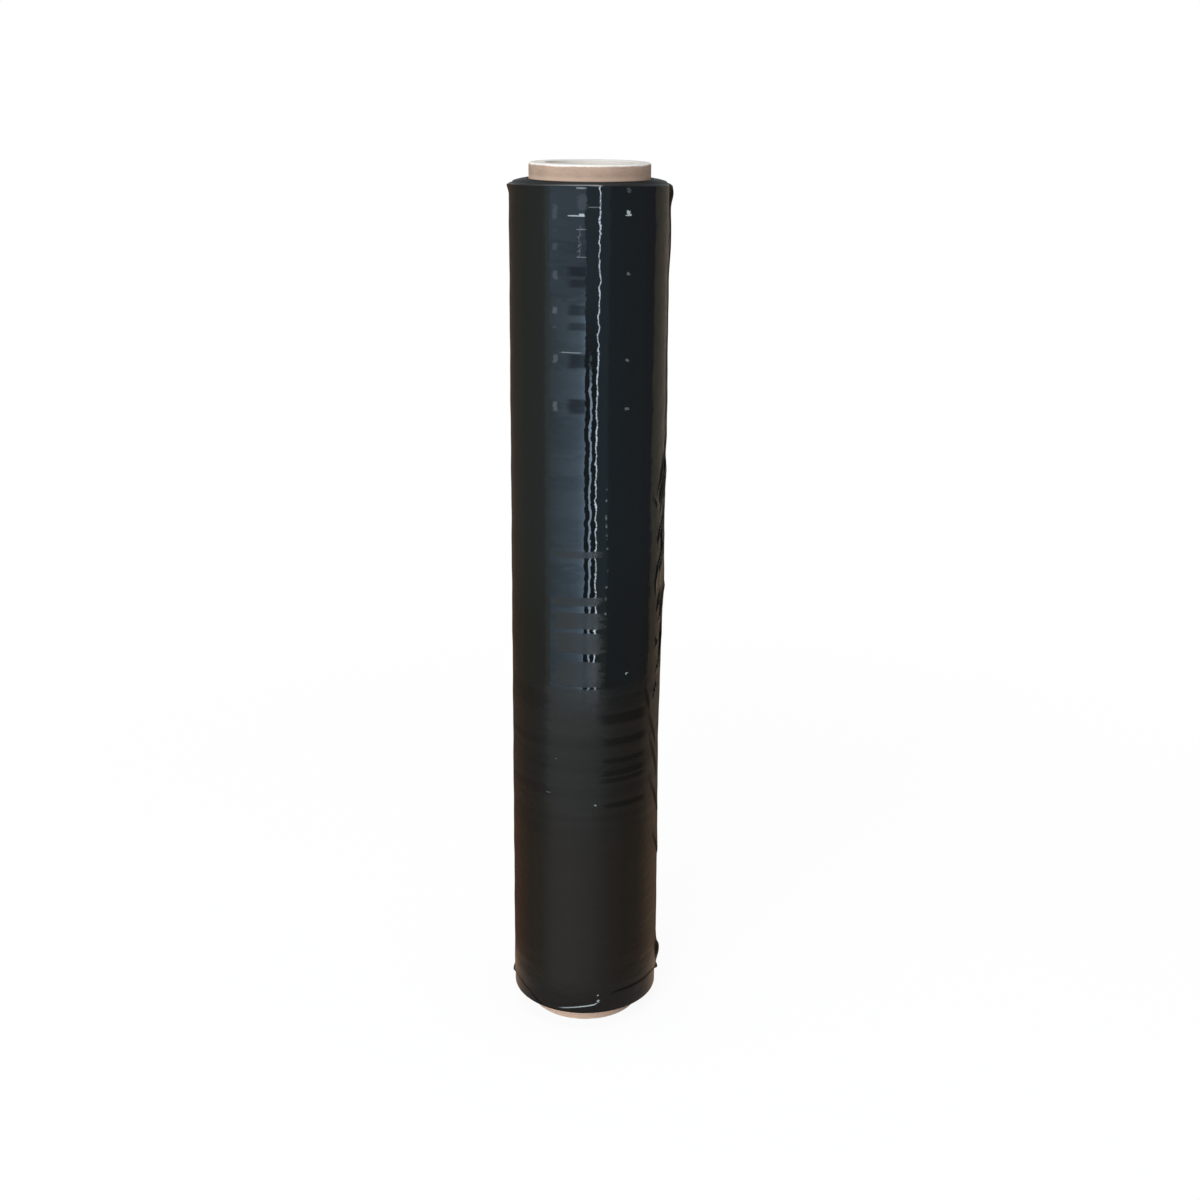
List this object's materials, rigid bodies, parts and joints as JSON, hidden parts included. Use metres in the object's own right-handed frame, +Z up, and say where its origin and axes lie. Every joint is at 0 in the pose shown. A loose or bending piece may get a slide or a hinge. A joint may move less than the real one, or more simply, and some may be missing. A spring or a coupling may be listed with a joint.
{
  "type": "stretch wrap roll",
  "caption": "Hand roll of glossy black stretch film wound on a kraft paperboard core, with bare core ends and a loose, crept last turn.",
  "frame": {"origin": "centre of the core's lower end, on the surface that the roll stands on", "axes": "+Z up along the axis of the roll, -Y towards the side that faces the viewer, +X to that viewer's right"},
  "size_m": [0.0933, 0.0904, 0.5185],
  "materials": {
    "kraft_board": "matte",
    "black_film": "gloss"
  },
  "bodies": {
    "root": {"core": "kraft_board", "film": "black_film"}
  },
  "joints": []
}
